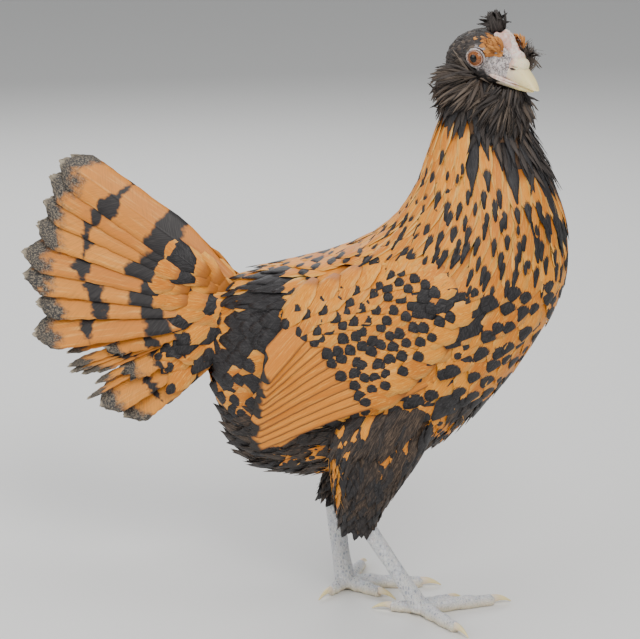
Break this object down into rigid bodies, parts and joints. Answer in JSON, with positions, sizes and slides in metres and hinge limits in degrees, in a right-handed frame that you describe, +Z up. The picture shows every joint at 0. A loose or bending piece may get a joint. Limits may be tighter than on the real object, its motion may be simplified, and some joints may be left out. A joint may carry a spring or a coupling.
{
  "type": "standing bearded hen, museum model",
  "caption": "Life-size standing hen with beard, muffs and a small crest tuft, head turned, folded wings and a fanned upright tail.",
  "frame": {"origin": "centre of the bounding box in plan, on the floor the toes stand on", "axes": "+X the way the body faces, +Y the bird's left, +Z up"},
  "size_m": [0.351, 0.1394, 0.4053],
  "materials": {
    "gold_plumage": "orange gold feathers with black spangled tips",
    "dark_plumage": "soft black and grey brown feathers",
    "leg_skin": "pale mottled blue grey scales",
    "horn": "satin pale horn",
    "comb_skin": "pale bumpy skin",
    "eye_gloss": "glossy, orange brown with a black pupil"
  },
  "bodies": {
    "root": {"neck": "gold_plumage", "trunk": "gold_plumage", "head": "dark_plumage", "crest": "dark_plumage", "beard": "dark_plumage", "comb": "comb_skin", "beak_upper": "horn", "beak_lower": "horn", "eye_right": "eye_gloss", "muff_right": "dark_plumage", "wing_coverts_right": "gold_plumage", "wing_flights_right": "gold_plumage", "tail_right": "gold_plumage", "thigh_right": "dark_plumage", "shank_right": "leg_skin", "toe_middle_right": "leg_skin", "claw_middle_right": "horn", "toe_outer_right": "leg_skin", "claw_outer_right": "horn", "toe_inner_right": "leg_skin", "claw_inner_right": "horn", "toe_back_right": "leg_skin", "claw_back_right": "horn", "eye_left": "eye_gloss", "muff_left": "dark_plumage", "wing_coverts_left": "gold_plumage", "wing_flights_left": "gold_plumage", "tail_left": "gold_plumage", "thigh_left": "dark_plumage", "shank_left": "leg_skin", "toe_middle_left": "leg_skin", "claw_middle_left": "horn", "toe_outer_left": "leg_skin", "claw_outer_left": "horn", "toe_inner_left": "leg_skin", "claw_inner_left": "horn", "toe_back_left": "leg_skin", "claw_back_left": "horn"}
  },
  "joints": []
}
